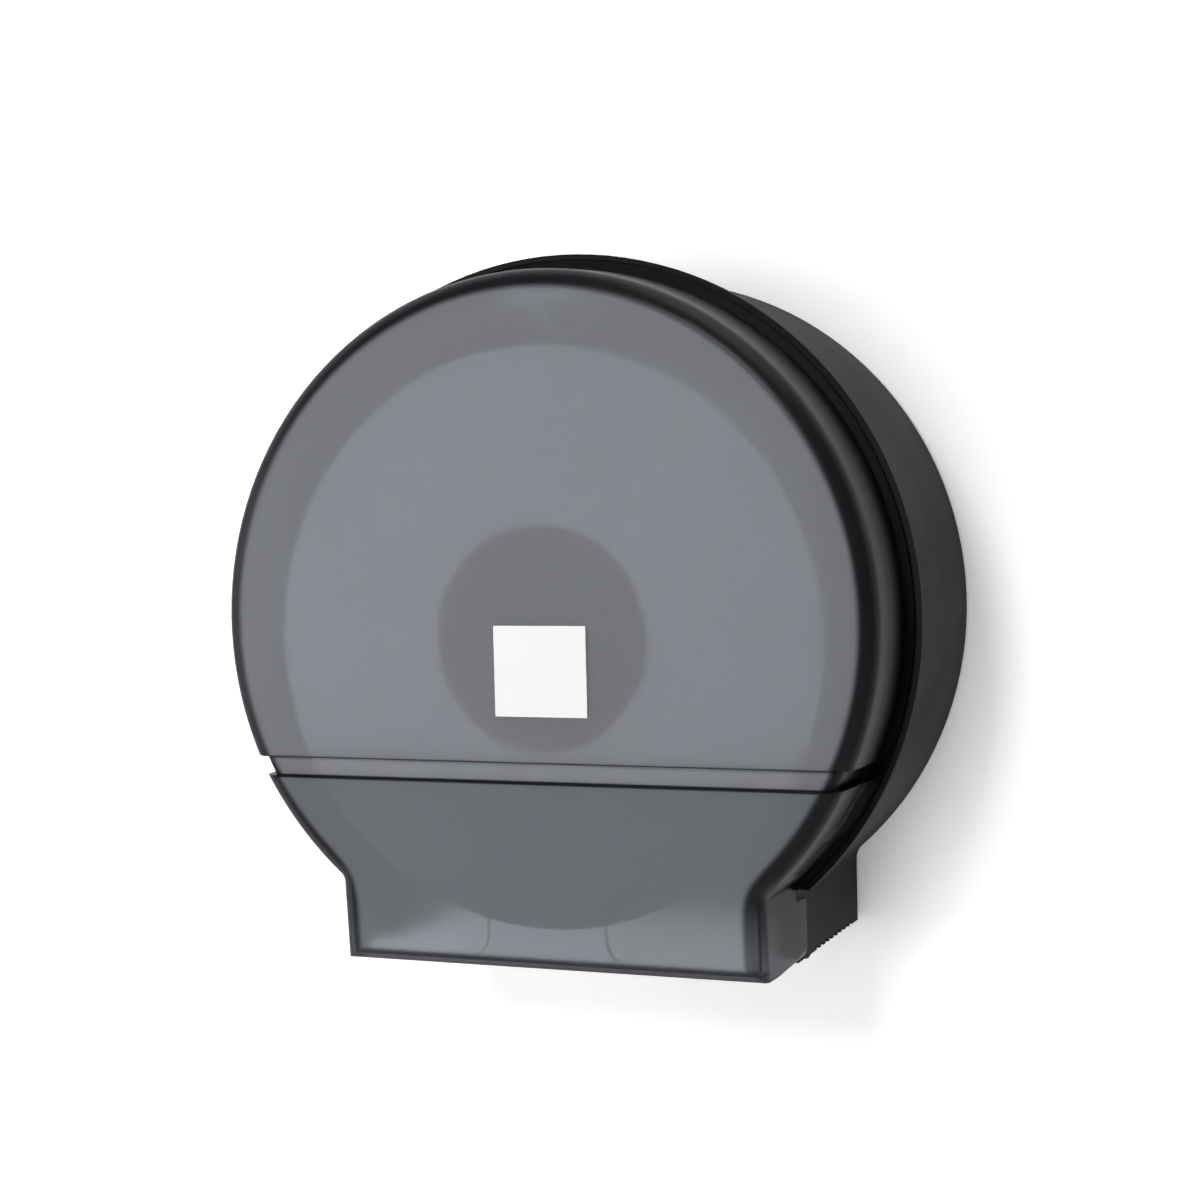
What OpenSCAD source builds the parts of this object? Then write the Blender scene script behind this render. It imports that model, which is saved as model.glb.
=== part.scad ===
// Jumbo toilet roll dispenser for a wall: a black drum housing, and a smoke-grey
// see-through cover that swings down on two pins near its lower edge.
// Frame: +X right, +Y into the wall, +Z up. The wall plane is Y = 0, and the origin
// is where the spindle axis meets it. A depth is a distance from the wall towards
// the room, so a depth d lies at Y = -d.

/* [Housing] */
// Room between a full roll's size and the inside of the drum wall
roll_room = 23; // [20:0.1:28]
// Wall thickness of the housing
housing_wall = 2.5; // [2:0.1:3]
// Depth of the ledge that the cover's flange closes against
rim_d = 95.9; // [90:0.1:102]
// Thickness of the ledge
ledge_t = 3; // [2:0.5:5]
// How far the ledge stands out from the drum wall
rim_overhang = 4.5; // [4:0.1:6]
// Width of the lip round the outside of the ledge
lip_w = 2; // [1.2:0.1:2.6]
// Height of that lip above the ledge
lip_h = 1.1; // [0.6:0.1:1.2]
// Half the width of the neck below the drum
neck_hw = 90.4; // [84:0.1:96]
// How far the neck's lower edge ends above the drum's lowest point
neck_lift = 3; // [1:0.1:6]
// How far above the neck's hollow corners the ledge and lip end
rim_end_rise = 4.3; // [2:0.1:8]
// Radius of the hollow corner between drum and neck
neck_fillet_r = 8; // [5:0.5:12]
// Depth of the front edge of the neck's side walls
neck_front_d = 88; // [85:0.5:89]
// Height of the stiffening ribs on the back plate
rib_h = 4; // [2:0.5:6]
// Thickness of the stiffening ribs
rib_t = 2; // [1.5:0.5:3]

/* [Wall screws] */
// Distance between the mounting holes, across and up
screw_pitch = 120; // [110:1:130]
// Radius of a mounting hole
screw_hole_r = 2.75; // [2:0.05:3.5]
// Radius of the pad round each mounting hole
screw_pad_r = 9; // [8:0.5:12]
// Height of that pad from the wall
screw_pad_h = 5; // [4:0.5:8]

/* [Cover] */
// Room between the roll's front and the cover
front_room = 6.8; // [5:0.1:10]
// Wall thickness of the cover
cover_wall = 2; // [1.6:0.1:2.4]
// Radius of the rounded edge of the front face
front_fillet_r = 7.5; // [5:0.5:10]
// Draft of the cover's round side, in degrees
cover_draft = 3.1; // [1:0.1:5]
// Width of the flange round the cover's open edge
flange_w = 3.3; // [2:0.1:3.8]
// Thickness of that flange
flange_t = 2; // [1.5:0.1:3]
// Gap between flange and lip, measured outwards
rim_gap = 0.9; // [0.7:0.1:1.5]
// Gap between flange and ledge, measured along the depth
seat_gap = 0.3; // [0.2:0.1:0.6]
// Depth of the rear edge of the cover's neck sides
cover_neck_rear_d = 86; // [82:0.5:87]
// Inward slope of the cover's neck sides towards the front, in degrees
neck_draft = 5.4; // [3:0.1:7]
// Gap between a hinge pad and the cover's neck side
neck_side_gap = 0.6; // [0.5:0.05:1]
// Gap between the cover's neck sides and the housing above them
neck_top_gap = 0.7; // [0.5:0.1:1.5]
// Radius of the cover's hollow corners between its round side and its neck
cover_bend_r = 4.5; // [3:0.5:8]
// Radius of the lower front corners, seen from the front
foot_corner_r = 6; // [4:0.5:9]
// Radius of the lower front edge, seen from the side
foot_edge_r = 4.5; // [3:0.5:6]
// How far the cover's lower edge ends above the housing's
cover_lift = 0.6; // [0.2:0.1:1.5]
// Width of the lip along the cover's lower front edge
front_lip_w = 14; // [10:0.5:16]
// Height of the groove's centre below the spindle axis
groove_drop = 58.2; // [50:0.1:66]
// Height of the groove
groove_h = 7.9; // [5:0.1:10]
// Depth of the groove
groove_t = 3; // [2:0.1:3.5]
// Distance between the two guide ribs inside the cover
guide_pitch = 50; // [40:1:60]
// Radius of the bend at the foot of a guide rib
guide_bend_r = 12; // [8:1:16]
// Distance from the groove down to the top of a guide rib
guide_drop = 38; // [20:1:50]

/* [Cover hinge] */
// Depth of the hinge axis
hinge_d = 76.8; // [76:0.1:77.4]
// Height of the hinge axis above the housing's lower edge
hinge_rise = 10.8; // [10:0.1:11.5]
// Radius of a hinge pin
hinge_pin_r = 2.5; // [2:0.1:3]
// Radius of the round pad on the outside of each hinge
hinge_pad_r = 11.2; // [8:0.1:12]
// Height of that pad
hinge_pad_h = 0.5; // [0.3:0.1:0.8]
// Radius of the round ends of the hinge ears
ear_r = 7; // [5.5:0.1:7.5]
// Thickness of the cover's hinge ears
cover_ear_t = 4; // [3:0.5:5]
// Thickness of the housing's inner hinge ears
housing_ear_t = 3.6; // [3:0.1:5]
// Side gap between parts that turn past each other
side_gap = 0.4; // [0.3:0.05:0.5]
// Running clearance round a turning shaft, in radius
running_gap = 0.06; // [0.03:0.01:0.09]

/* [Tear strips] */
// Distance between teeth
tooth_pitch = 6.2; // [5:0.1:7]
// Height of a tooth
tooth_h = 2.4; // [1.5:0.1:3]
// Radius of the notches that bare the teeth
notch_r = 1.7; // [1.2:0.1:2]
// Thickness of a strip
strip_t = 1.5; // [1:0.1:2]
// Height of a strip without its teeth
strip_h = 8; // [7:0.5:10]
// Depth of the first tooth
first_tooth_d = 11; // [10:0.5:12]
// Distance of the stakes that hold a strip from its ends
stake_inset = 9; // [6:0.5:12]

/* [Roll] */
// Radius of a full roll
roll_r = 114.3; // [90:0.1:116]
// Width of the roll
roll_w = 91.7; // [80:0.1:92]
// Inside radius of the roll's core
core_r = 42.8; // [41:0.1:45]
// Thickness of the core's board
core_t = 2; // [1:0.1:3]
// Gap between the hub and the core that hangs on it
roll_gap = 0.3; // [0.2:0.05:0.5]

/* [Spindle] */
// Radius of the spindle shaft
shaft_r = 6; // [4:0.1:7]
// Radius of the pad that carries the spindle base
base_pad_r = 40; // [36:0.5:46]
// Height of that pad from the wall
base_pad_h = 8; // [6:0.5:10]
// Radius of the spindle base
base_r = 38; // [34:0.5:44]
// Thickness of the spindle base
base_t = 4; // [3:0.5:6]
// Radius of the boss on the spindle base
boss_r = 14; // [12:0.5:16]
// Depth of the front end of the boss
boss_d = 28; // [22:0.5:34]
// Radius of the ring of screws in the spindle base
base_screw_ring_r = 29; // [26:0.5:32]
// Thickness of the thrust washers
washer_t = 1.2; // [0.8:0.1:2]
// Radius of the thrust washers
washer_r = 11; // [9:0.5:12]
// End play on each side of a thrust washer
end_play = 0.2; // [0.1:0.05:0.4]

/* [Hub] */
// Outer radius of the hub that carries the core
hub_r = 36; // [34:0.1:38]
// Wall thickness of the hub
hub_wall = 3; // [2:0.1:4]
// Length of the hub in front of its flange
hub_len = 72; // [60:0.5:78]
// Radius of the flange that stops the roll
hub_flange_r = 52; // [48:0.5:60]
// Thickness of the hub's flange
hub_flange_t = 3; // [2:0.1:4]
// Outer radius of the hub's sleeve
sleeve_r = 12; // [11:0.1:14]
// How far the sleeve ends behind the hub's front edge
sleeve_setback = 8; // [7:0.5:14]
// How far the spokes end behind the sleeve's front edge
spoke_setback = 12; // [4:0.5:20]
// Wall of the bushings between shaft and sleeve
bush_wall = 2.5; // [1.5:0.1:3]
// Length of a bushing
bush_len = 15; // [10:0.5:20]
// Thickness of a bushing's collar
bush_collar_t = 1.5; // [1:0.1:2.5]
// Number of spokes in the hub
spoke_count = 6; // [3:1:8]
// Thickness of the hub's front cap
cap_t = 2; // [1.5:0.1:3]

/* [Lock] */
// Distance of the lock's axis behind the cover's front face
lock_setback = 21.7; // [21:0.1:23]
// Radius of the lock's plug
plug_r = 4.5; // [4:0.1:5]
// Wall of the lock's barrel
barrel_wall = 2.4; // [2:0.1:3]
// Radius of the barrel's head
barrel_head_r = 9; // [8.5:0.1:10]
// Thickness of the barrel's head
barrel_head_t = 1.2; // [1:0.1:1.8]
// How far the barrel's head sits below the cover's round side
lock_sink = 0.4; // [0.3:0.1:0.8]
// Distance from the barrel's face down to the lock's carrier
lock_pad_t = 5.2; // [4.5:0.1:6]
// Half the width of the lock's carrier
carrier_hw = 17; // [16:0.1:17.5]
// Length of the lock's carrier along the depth
carrier_l = 22; // [20.5:0.5:23]
// Height of the lock's carrier
carrier_h = 7.8; // [6:0.1:9]
// Height of the lock's nut
nut_h = 3.2; // [2:0.1:4]
// Length of the cam from the lock's axis to its tip
cam_l = 23; // [22.5:0.1:24]
// Width of the cam
cam_w = 8; // [6:0.1:9]
// Thickness of the cam
cam_t = 2.5; // [2:0.1:3]
// Sheet thickness of the strike
strike_t = 1.5; // [1:0.1:2]
// Gap between the strike and the lock's carrier
strike_gap = 2.5; // [1.5:0.1:3]
// Length of the strike's flange
strike_l = 22; // [18:0.5:26]
// Width of the strike's flange
strike_w = 15.5; // [14:0.5:18]
// Distance of the strike's flange behind the ledge
strike_setback = 14; // [10:0.5:20]
// Height of the strike's flange above the cam
strike_rise = 6.5; // [5:0.1:8]
// Width of the metal below the strike's window and in front of it
strike_land = 4.5; // [3.5:0.1:6]

/* [Label] */
// Width of the label plate
label_w = 38.5; // [20:0.5:50]
// Height of the label plate
label_h = 35.3; // [20:0.1:50]
// Thickness of the label plate
label_t = 0.5; // [0.3:0.1:1]
// Sideways distance of the label's centre from the spindle axis
label_x = 3.2; // [-10:0.1:10]
// Height of the label's centre below the spindle axis
label_drop = 18.4; // [0:0.1:28]

/* [Hidden] */
$fn = 96;

// Shared small sizes
fit_gap = 0.05;        // radial gap round a piece that is fixed in its hole
cut = 1;               // how far a cutting shape runs past the face it opens
screw_r = 1.75;        // shank radius of every assembly screw
screw_head_r = 3.4;
screw_head_h = 2.2;
pilot_len = 5.5;       // how far an assembly screw bites into what it holds on to

// Spindle and hub, set out along the depth from the spindle base
washer_d = boss_d;
rear_collar_d = washer_d + washer_t + end_play;
hub_d = rear_collar_d + bush_collar_t;
hub_front_d = hub_d + hub_flange_t + hub_len;
sleeve_front_d = hub_front_d - sleeve_setback;
front_collar_d = sleeve_front_d;
shaft_front_d = front_collar_d + bush_collar_t + end_play;
retainer_front_d = shaft_front_d + washer_t;
shaft_head_r = shaft_r + 4;
shaft_head_t = 2;
bush_r = shaft_r + running_gap + bush_wall;
hub_in = hub_r - hub_wall;
spoke_t = 2.4;
cap_skirt_t = 2;
cap_skirt_l = 6;
retaining_screw_r = 2.5;
retaining_screw_l = 16;
roll_rear_d = hub_d + hub_flange_t + roll_gap;
roll_z = -(core_r - hub_r - roll_gap);
core_out = core_r + core_t;

// Drum and cover, set out round a full roll
drum_r = roll_r + roll_room + housing_wall;
neck_drop = drum_r - neck_lift;
cover_d = roll_rear_d + roll_w + front_room + cover_wall;
rim_r = drum_r + rim_overhang;
flange_r = rim_r - lip_w - rim_gap;
flange_rear_d = rim_d + seat_gap;
flange_front_d = flange_rear_d + flange_t;
cover_side_r = flange_r - flange_w;
fillet_d = cover_d - front_fillet_r;
cover_front_r = cover_r(fillet_d);

// Neck of the cover, which passes outside the housing's neck
cover_neck_hw = neck_hw + hinge_pad_h + neck_side_gap + cover_wall;
cover_neck_z = -neck_drop + cover_lift;
foot_rise = 0.8;                   // how far the lower edge climbs towards the front
cover_open_d = cover_d - front_lip_w;
groove_foot_z = -groove_drop - groove_h / 2;
housing_neck_z = fillet_centre_z(drum_r, neck_hw, neck_fillet_r);
rim_end_z = housing_neck_z + rim_end_rise;
cover_neck_top_z = housing_neck_z - neck_top_gap;
corner_bite = 0.1;                 // how far the cover's hollow corners sink into what they join

// Hinge
hinge_z = -neck_drop + hinge_rise;
neck_in = neck_hw - housing_wall;
cover_ear_out = neck_in - side_gap;
cover_ear_in = cover_ear_out - cover_ear_t;
housing_ear_out = cover_ear_in - side_gap;
housing_ear_in = housing_ear_out - housing_ear_t;
ear_web_t = 4;
ear_web_d = neck_front_d + 5;
ear_web_top = cover_neck_top_z - 1;
ear_web_foot = hinge_z - ear_r;
stop_web_t = 3;
stop_web_d = hinge_d - ear_r - 4.6;   // front face of the web that stops the open cover
stop_web_foot = -neck_drop + 1;
stop_web_top = 2 * hinge_z - stop_web_foot;
pin_head_r = hinge_pin_r + 1.5;
pin_head_t = 1.5;
pin_end_skin = 0.8;                // closed end of the pin's hole under the round pad
pin_end = neck_hw + hinge_pad_h - pin_end_skin;

// Tear strips
strip_foot_z = -neck_drop + tooth_h;
strip_end_gap = 0.3;
strip_d0 = first_tooth_d - tooth_pitch / 2;
strip_d1 = stop_web_d - stop_web_t - strip_end_gap;
tooth_count = floor((strip_d1 - first_tooth_d) / tooth_pitch) + 1;
stake_r = 1.5;
stake_head_r = 2.5;
stake_head_t = 0.8;
stake_z = strip_foot_z + strip_h / 2 + 0.5;
stake_ds = [strip_d0 + stake_inset, strip_d1 - stake_inset];
cover_tooth_pitch = 6.5;
cover_tooth_h = 2.5;

// Lock, set out downwards from the top of the cover
lock_d = cover_d - lock_setback;
barrel_r = plug_r + running_gap + barrel_wall;
lock_face_z = cover_r(lock_d) - lock_sink;
spot_z = lock_face_z - barrel_head_t;
lock_pad_z = lock_face_z - lock_pad_t;
spot_gap = 0.3;                    // gap round the barrel's head in the cover
lock_pad_hw = carrier_hw - 1;
carrier_z = lock_pad_z - carrier_h;
nut_z = carrier_z - nut_h;
barrel_foot_z = nut_z;
cam_gap = 0.3;                     // gap between the barrel and the turning cam
cam_top_z = barrel_foot_z - cam_gap;
cam_z = cam_top_z - cam_t;
cam_play = 1.2;                    // gap between the turning cam and the strike's window
cam_eye_r = 6.5;
plug_sink = 0.3;                   // how far the plug's face lies below the barrel's
cam_screw_l = 7;                   // how far the cam's screw reaches into the plug
keyway_w = 1.4;
keyway_l = 6.4;
keyway_deep = 5;
carrier_screw_x = (barrel_r + carrier_hw) / 2 + 0.5;
carrier_screw_bite = 2.8;
carrier_screw_head_r = 2.6;
carrier_screw_head_h = 1.8;
nut_af = 2 * barrel_r + 4;

// Strike
strike_x = carrier_hw + strike_gap;
strike_top_z = cam_top_z + strike_rise;
strike_z = cam_z - strike_land;
strike_front_d = lock_d + cam_w / 2 + cam_play + strike_land;
strike_d1 = rim_d - strike_setback;
strike_d0 = strike_d1 - strike_l;
strike_screw_x = strike_x + strike_t + 8;
strike_screw_ds = [strike_d0 + 6, strike_d1 - 6];
strike_pad_w = 10;

// Radius of the cover's round side at depth d
function cover_r(d) = cover_side_r - max(0, d - flange_front_d) * tan(cover_draft);

// Half the width of the cover's neck at depth d
function cover_neck_out(d) = cover_neck_hw - (d - cover_neck_rear_d) * tan(neck_draft);

// Height of the centre of the hollow corner between a circle and a neck
function fillet_centre_z(r, hw, f) = -sqrt((r + f) * (r + f) - (hw + f) * (hw + f));

// Centre, in X and Z, of the cover's hollow corner at depth d
function bend_centre(d) = [
    cover_neck_out(d) - corner_bite + cover_bend_r,
    fillet_centre_z(cover_r(d) - corner_bite, cover_neck_out(d) - corner_bite, cover_bend_r)];

// Extrudes a front-view outline, drawn in X and Z, from depth d0 to depth d1
module from_wall(d0, d1) {
    translate([0, -d0, 0]) rotate([90, 0, 0]) linear_extrude(d1 - d0) children();
}

// Extrudes a side-view outline, drawn in Y and Z, from x0 to x1
module along_x(x0, x1) {
    translate([x0, 0, 0]) rotate([90, 0, 90]) linear_extrude(x1 - x0) children();
}

// Revolves an outline drawn in radius and depth round the spindle axis
module turned() {
    rotate([90, 0, 0]) rotate_extrude() children();
}

// A round post or hole that runs from depth d0 to depth d1
module post(d0, d1, r, at = [0, 0]) {
    translate([at[0], -d0, at[1]]) rotate([90, 0, 0]) cylinder(h = d1 - d0, r = r);
}

// A round post or hole that runs across, from x0 to x1, on the hinge axis
module hinge_post(x0, x1, r) {
    translate([x0, -hinge_d, hinge_z]) rotate([0, 90, 0]) cylinder(h = x1 - x0, r = r);
}

// A block between two corners, with its second corner given by depths
module block(x0, x1, d0, d1, z0, z1) {
    translate([x0, -d1, z0]) cube([x1 - x0, d1 - d0, z1 - z0]);
}

module both_sides() {
    children();
    mirror([1, 0, 0]) children();
}

// Hollow corner between a circle and the right side of a neck, drawn from the neck's side at X = 0
module hollow_corner(r, hw, f) {
    zc = fillet_centre_z(r, hw, f);
    touch = [hw + f, zc] * r / (r + f) - [hw, 0];
    inside = 3;
    difference() {
        polygon([[-inside, zc], [f, zc], touch, [-inside, touch[1] + inside]]);
        translate([f, zc]) circle(f);
    }
}

// Outline of drum and neck: a disc, a straight neck and a hollow corner on each side
module keyhole(r, hw, f, foot) {
    intersection() {
        union() {
            circle(r);
            translate([-hw, foot]) square([2 * hw, -foot]);
            both_sides() translate([hw, 0]) hollow_corner(r, hw, f);
        }
        translate([-2 * r, foot]) square([4 * r, 4 * r]);
    }
}

// A screw on the Z axis: its head stands on Z = 0 and its shank points down
module screw(length, r = screw_r, head_r = screw_head_r, head_h = screw_head_h) {
    slot_w = head_r * 0.3;
    slot_l = head_r * 1.3;
    difference() {
        cylinder(h = head_h, r = head_r);
        for (turn = [0, 90])
            rotate([0, 0, turn]) translate([-slot_l / 2, -slot_w / 2, head_h * 0.45])
                cube([slot_l, slot_w, head_h]);
    }
    translate([0, 0, -length]) cylinder(h = length, r = r);
}

// Places children at each mounting hole
module at_wall_screws() {
    for (x = [-1, 1], z = [-1, 1])
        translate([x * screw_pitch / 2, 0, z * screw_pitch / 2]) children();
}

// Places children at each screw of the spindle base
module at_base_screws() {
    for (turn = [45:90:315])
        rotate([0, turn, 0]) translate([base_screw_ring_r, 0, 0]) children();
}

module housing_outline(inset, foot) {
    keyhole(drum_r - inset, neck_hw - inset, neck_fillet_r + inset, foot);
}

module above(z) {
    intersection() {
        children();
        translate([-2 * rim_r, -2 * cover_d, z]) cube([4 * rim_r, 3 * cover_d, 2 * rim_r]);
    }
}

module housing_wall_ring(d0, d1) {
    from_wall(d0, d1) difference() {
        housing_outline(0, -neck_drop);
        housing_outline(housing_wall, -neck_drop - cut);
    }
}

module housing_back() {
    from_wall(0, housing_wall) housing_outline(0, -neck_drop);
    post(0, base_pad_h, base_pad_r);
    at_wall_screws() post(0, screw_pad_h, screw_pad_r);
    for (turn = [0:30:330])
        rotate([0, turn, 0])
            block(base_pad_r - cut, drum_r - housing_wall + cut / 2, 0,
                housing_wall + rib_h, -rib_t / 2, rib_t / 2);
}

module housing_rim() {
    above(rim_end_z) turned() {
        translate([drum_r - housing_wall, rim_d - ledge_t])
            square([rim_overhang + housing_wall, ledge_t]);
        translate([rim_r - lip_w, rim_d - ledge_t]) square([lip_w, ledge_t + lip_h]);
    }
}

// Inner hinge ear with the web that joins it to the neck's side wall
module housing_hinge_ear() {
    along_x(housing_ear_in, housing_ear_out) {
        translate([-hinge_d, hinge_z]) circle(ear_r);
        translate([-hinge_d, hinge_z - ear_r])
            square([hinge_d - stop_web_d + stop_web_t, 2 * ear_r]);
    }
    block(housing_ear_in, neck_in + cut, stop_web_d - stop_web_t, stop_web_d,
        stop_web_foot, stop_web_top);
}

module strike_pad() {
    intersection() {
        block(strike_screw_x - strike_pad_w / 2, strike_screw_x + strike_pad_w / 2,
            strike_d0, strike_d1, strike_top_z, drum_r);
        post(0, rim_d, drum_r - housing_wall / 2);
    }
}

module rear_housing() {
    color("#2b2b2d") difference() {
        union() {
            housing_back();
            housing_wall_ring(0, neck_front_d);
            above(housing_neck_z) housing_wall_ring(neck_front_d - cut, rim_d);
            housing_rim();
            strike_pad();
            both_sides() {
                housing_hinge_ear();
                hinge_post(neck_in, neck_hw + hinge_pad_h, hinge_pad_r);
                for (d = stake_ds) {
                    block_to = neck_in + cut;
                    translate([neck_in - strip_t, -d, stake_z]) rotate([0, 90, 0])
                        cylinder(h = block_to - neck_in + strip_t, r = stake_r);
                    translate([neck_in - strip_t - stake_head_t, -d, stake_z]) rotate([0, 90, 0])
                        cylinder(h = stake_head_t, r = stake_head_r);
                }
            }
        }
        at_wall_screws() post(-cut, screw_pad_h + cut, screw_hole_r);
        at_base_screws() post(base_pad_h - pilot_len, base_pad_h + cut, screw_r + fit_gap);
        both_sides() {
            hinge_post(housing_ear_in - cut, pin_end, hinge_pin_r + fit_gap);
            for (i = [0:tooth_count - 1])
                translate([neck_in - cut / 2, -first_tooth_d - i * tooth_pitch, -neck_drop])
                    rotate([0, 90, 0]) cylinder(h = housing_wall + cut, r = notch_r);
        }
        for (d = strike_screw_ds)
            translate([strike_screw_x, -d, strike_top_z - cut])
                cylinder(h = pilot_len + cut, r = screw_r + fit_gap);
    }
}

module spindle_base() {
    gusset_t = 3;
    color("#343437") difference() {
        union() {
            post(base_pad_h, base_pad_h + base_t, base_r);
            post(base_pad_h, boss_d, boss_r);
            for (turn = [0:90:270])
                rotate([0, turn, 0]) base_gusset(gusset_t);
        }
        post(base_pad_h - cut, boss_d + cut, shaft_r + fit_gap);
        post(base_pad_h - cut, base_pad_h + shaft_head_t + fit_gap, shaft_head_r + fit_gap);
        at_base_screws() post(base_pad_h - cut, base_pad_h + base_t + cut, screw_r + fit_gap);
    }
}

// Three-cornered stiffener between the spindle base's boss and its plate
module base_gusset(t) {
    translate([0, 0, -t / 2]) linear_extrude(t)
        polygon([[boss_r - cut, -base_pad_h - base_t / 2], [base_r - 3, -base_pad_h - base_t / 2],
            [base_r - 3, -base_pad_h - base_t - 0.5], [boss_r - cut, -boss_d + 3]]);
}

module spindle_base_screws() {
    color("#b9bbbd") at_base_screws()
        translate([0, -base_pad_h - base_t, 0]) rotate([90, 0, 0])
            screw(base_t + pilot_len - cut);
}

module spindle_shaft() {
    color("#a9abad") difference() {
        union() {
            post(base_pad_h, shaft_front_d, shaft_r);
            post(base_pad_h, base_pad_h + shaft_head_t, shaft_head_r);
        }
        post(shaft_front_d - retaining_screw_l - cut, shaft_front_d + cut, retaining_screw_r + fit_gap);
    }
}

module thrust_washer(d, bore_r) {
    color("#d8d6cf") difference() {
        post(d, d + washer_t, washer_r);
        post(d - cut, d + washer_t + cut, bore_r);
    }
}

module rear_thrust_washer() {
    thrust_washer(washer_d, shaft_r + 2 * fit_gap);
}

module front_thrust_washer() {
    thrust_washer(shaft_front_d, retaining_screw_r + 2 * fit_gap);
}

module retaining_screw() {
    color("#b9bbbd") translate([0, -retainer_front_d, 0]) rotate([90, 0, 0])
        screw(retaining_screw_l + washer_t - cut, retaining_screw_r, retaining_screw_r + 2.5, 2.8);
}

// Toothed strip inside the right side of the neck, with holes for its two stakes
module tear_strip() {
    color("#101011") difference() {
        along_x(neck_in - strip_t, neck_in) {
            translate([-strip_d1, strip_foot_z]) square([strip_d1 - strip_d0, strip_h]);
            intersection() {
                translate([-strip_d1, -neck_drop]) square([strip_d1 - strip_d0, strip_h]);
                for (i = [0:tooth_count - 1])
                    translate([-first_tooth_d - i * tooth_pitch, strip_foot_z])
                        polygon([[-tooth_pitch / 2, 0], [0, -tooth_h], [tooth_pitch / 2, 0]]);
            }
        }
        for (d = stake_ds)
            translate([neck_in - strip_t - cut, -d, stake_z]) rotate([0, 90, 0])
                cylinder(h = strip_t + 2 * cut, r = stake_r + fit_gap);
    }
}

module right_tear_strip() {
    tear_strip();
}

module left_tear_strip() {
    mirror([1, 0, 0]) tear_strip();
}

// Right-angled bracket: its upright has a window that the lock's cam turns into
module latch_strike() {
    color("#c3c5c7") difference() {
        union() {
            block(strike_x, strike_x + strike_t, strike_d0, strike_front_d, strike_z, strike_top_z);
            block(strike_x, strike_x + strike_w, strike_d0, strike_d1,
                strike_top_z - strike_t, strike_top_z);
        }
        block(strike_x - cut, strike_x + strike_t + cut, lock_d - cam_l + cam_w - 1,
            lock_d + cam_w / 2 + cam_play, cam_z - cam_play, cam_top_z + cam_play);
        for (d = strike_screw_ds)
            translate([strike_screw_x, -d, strike_top_z - strike_t - cut])
                cylinder(h = strike_t + 2 * cut, r = screw_r + fit_gap);
    }
}

module strike_screws() {
    color("#b9bbbd") for (d = strike_screw_ds)
        translate([strike_screw_x, -d, strike_top_z - strike_t]) rotate([180, 0, 0])
            screw(strike_t + pilot_len - cut);
}

module right_hinge_pin() {
    color("#c9cbcd") union() {
        hinge_post(housing_ear_in - pin_head_t, housing_ear_in, pin_head_r);
        hinge_post(housing_ear_in - pin_head_t, pin_end - fit_gap, hinge_pin_r);
    }
}

module left_hinge_pin() {
    mirror([1, 0, 0]) right_hinge_pin();
}

module roll_hub() {
    web_t = 2.5;
    web_d = hub_d + hub_flange_t + hub_len / 2;
    color("#2e2e31") difference() {
        union() {
            post(hub_d, hub_d + hub_flange_t, hub_flange_r);
            difference() {
                post(hub_d, hub_front_d, hub_r);
                post(hub_d + hub_flange_t, hub_front_d + cut, hub_in);
            }
            post(hub_d, sleeve_front_d, sleeve_r);
            post(web_d, web_d + web_t, hub_r - hub_wall / 2);
            for (i = [0:spoke_count - 1])
                rotate([0, i * 360 / spoke_count, 0])
                    block(sleeve_r - cut, hub_in + cut, hub_d + cut, sleeve_front_d - spoke_setback,
                        -spoke_t / 2, spoke_t / 2);
        }
        post(hub_d - cut, sleeve_front_d + cut, bush_r + fit_gap);
    }
}

// Collared sleeve: the collar lies in front of the hub's end or behind it
module bushing(collar_d, d0, d1) {
    color("#e6e2d6") difference() {
        union() {
            post(d0, d1, bush_r);
            post(collar_d, collar_d + bush_collar_t, sleeve_r - 0.5);
        }
        post(min(d0, collar_d) - cut, max(d1, collar_d + bush_collar_t) + cut, shaft_r + running_gap);
    }
}

module rear_bushing() {
    bushing(rear_collar_d, rear_collar_d, hub_d + bush_len);
}

module front_bushing() {
    bushing(front_collar_d, front_collar_d - bush_len, front_collar_d + bush_collar_t);
}

module hub_cap() {
    skirt_r = hub_in - fit_gap;
    color("#2e2e31") union() {
        post(hub_front_d, hub_front_d + cap_t, hub_r);
        difference() {
            post(hub_front_d - cap_skirt_l, hub_front_d + cap_t / 2, skirt_r);
            post(hub_front_d - cap_skirt_l - cut, hub_front_d + cap_t / 4, skirt_r - cap_skirt_t);
        }
    }
}

module roll_core() {
    color("#a98a63") difference() {
        post(roll_rear_d, roll_rear_d + roll_w, core_out, [0, roll_z]);
        post(roll_rear_d - cut, roll_rear_d + roll_w + cut, core_r, [0, roll_z]);
    }
}

module paper_roll() {
    color("#f2f1ec") difference() {
        post(roll_rear_d, roll_rear_d + roll_w, roll_r, [0, roll_z]);
        post(roll_rear_d - cut, roll_rear_d + roll_w + cut, core_out + fit_gap, [0, roll_z]);
    }
}

// Round part of the cover as a solid, with every outer face moved in by inset
module cover_disc(inset, rear_d) {
    r0 = cover_side_r - inset;
    r1 = cover_front_r - inset;
    corner = front_fillet_r - inset;
    turned() {
        polygon([[0, rear_d], [r0, rear_d], [r0, flange_front_d], [r1, fillet_d], [0, fillet_d]]);
        translate([0, fillet_d - cut]) square([r1 - corner, corner + cut]);
        translate([r1 - corner, fillet_d]) circle(corner);
    }
}

// Wedge between the round side and the neck, drawn from the centre of the hollow corner
module bend_wedge(f) {
    reach = f + 2 * front_fillet_r;
    centre = bend_centre(fillet_d);
    polygon([[0, 0], [-reach, 0], -centre * reach / norm(centre)]);
}

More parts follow.
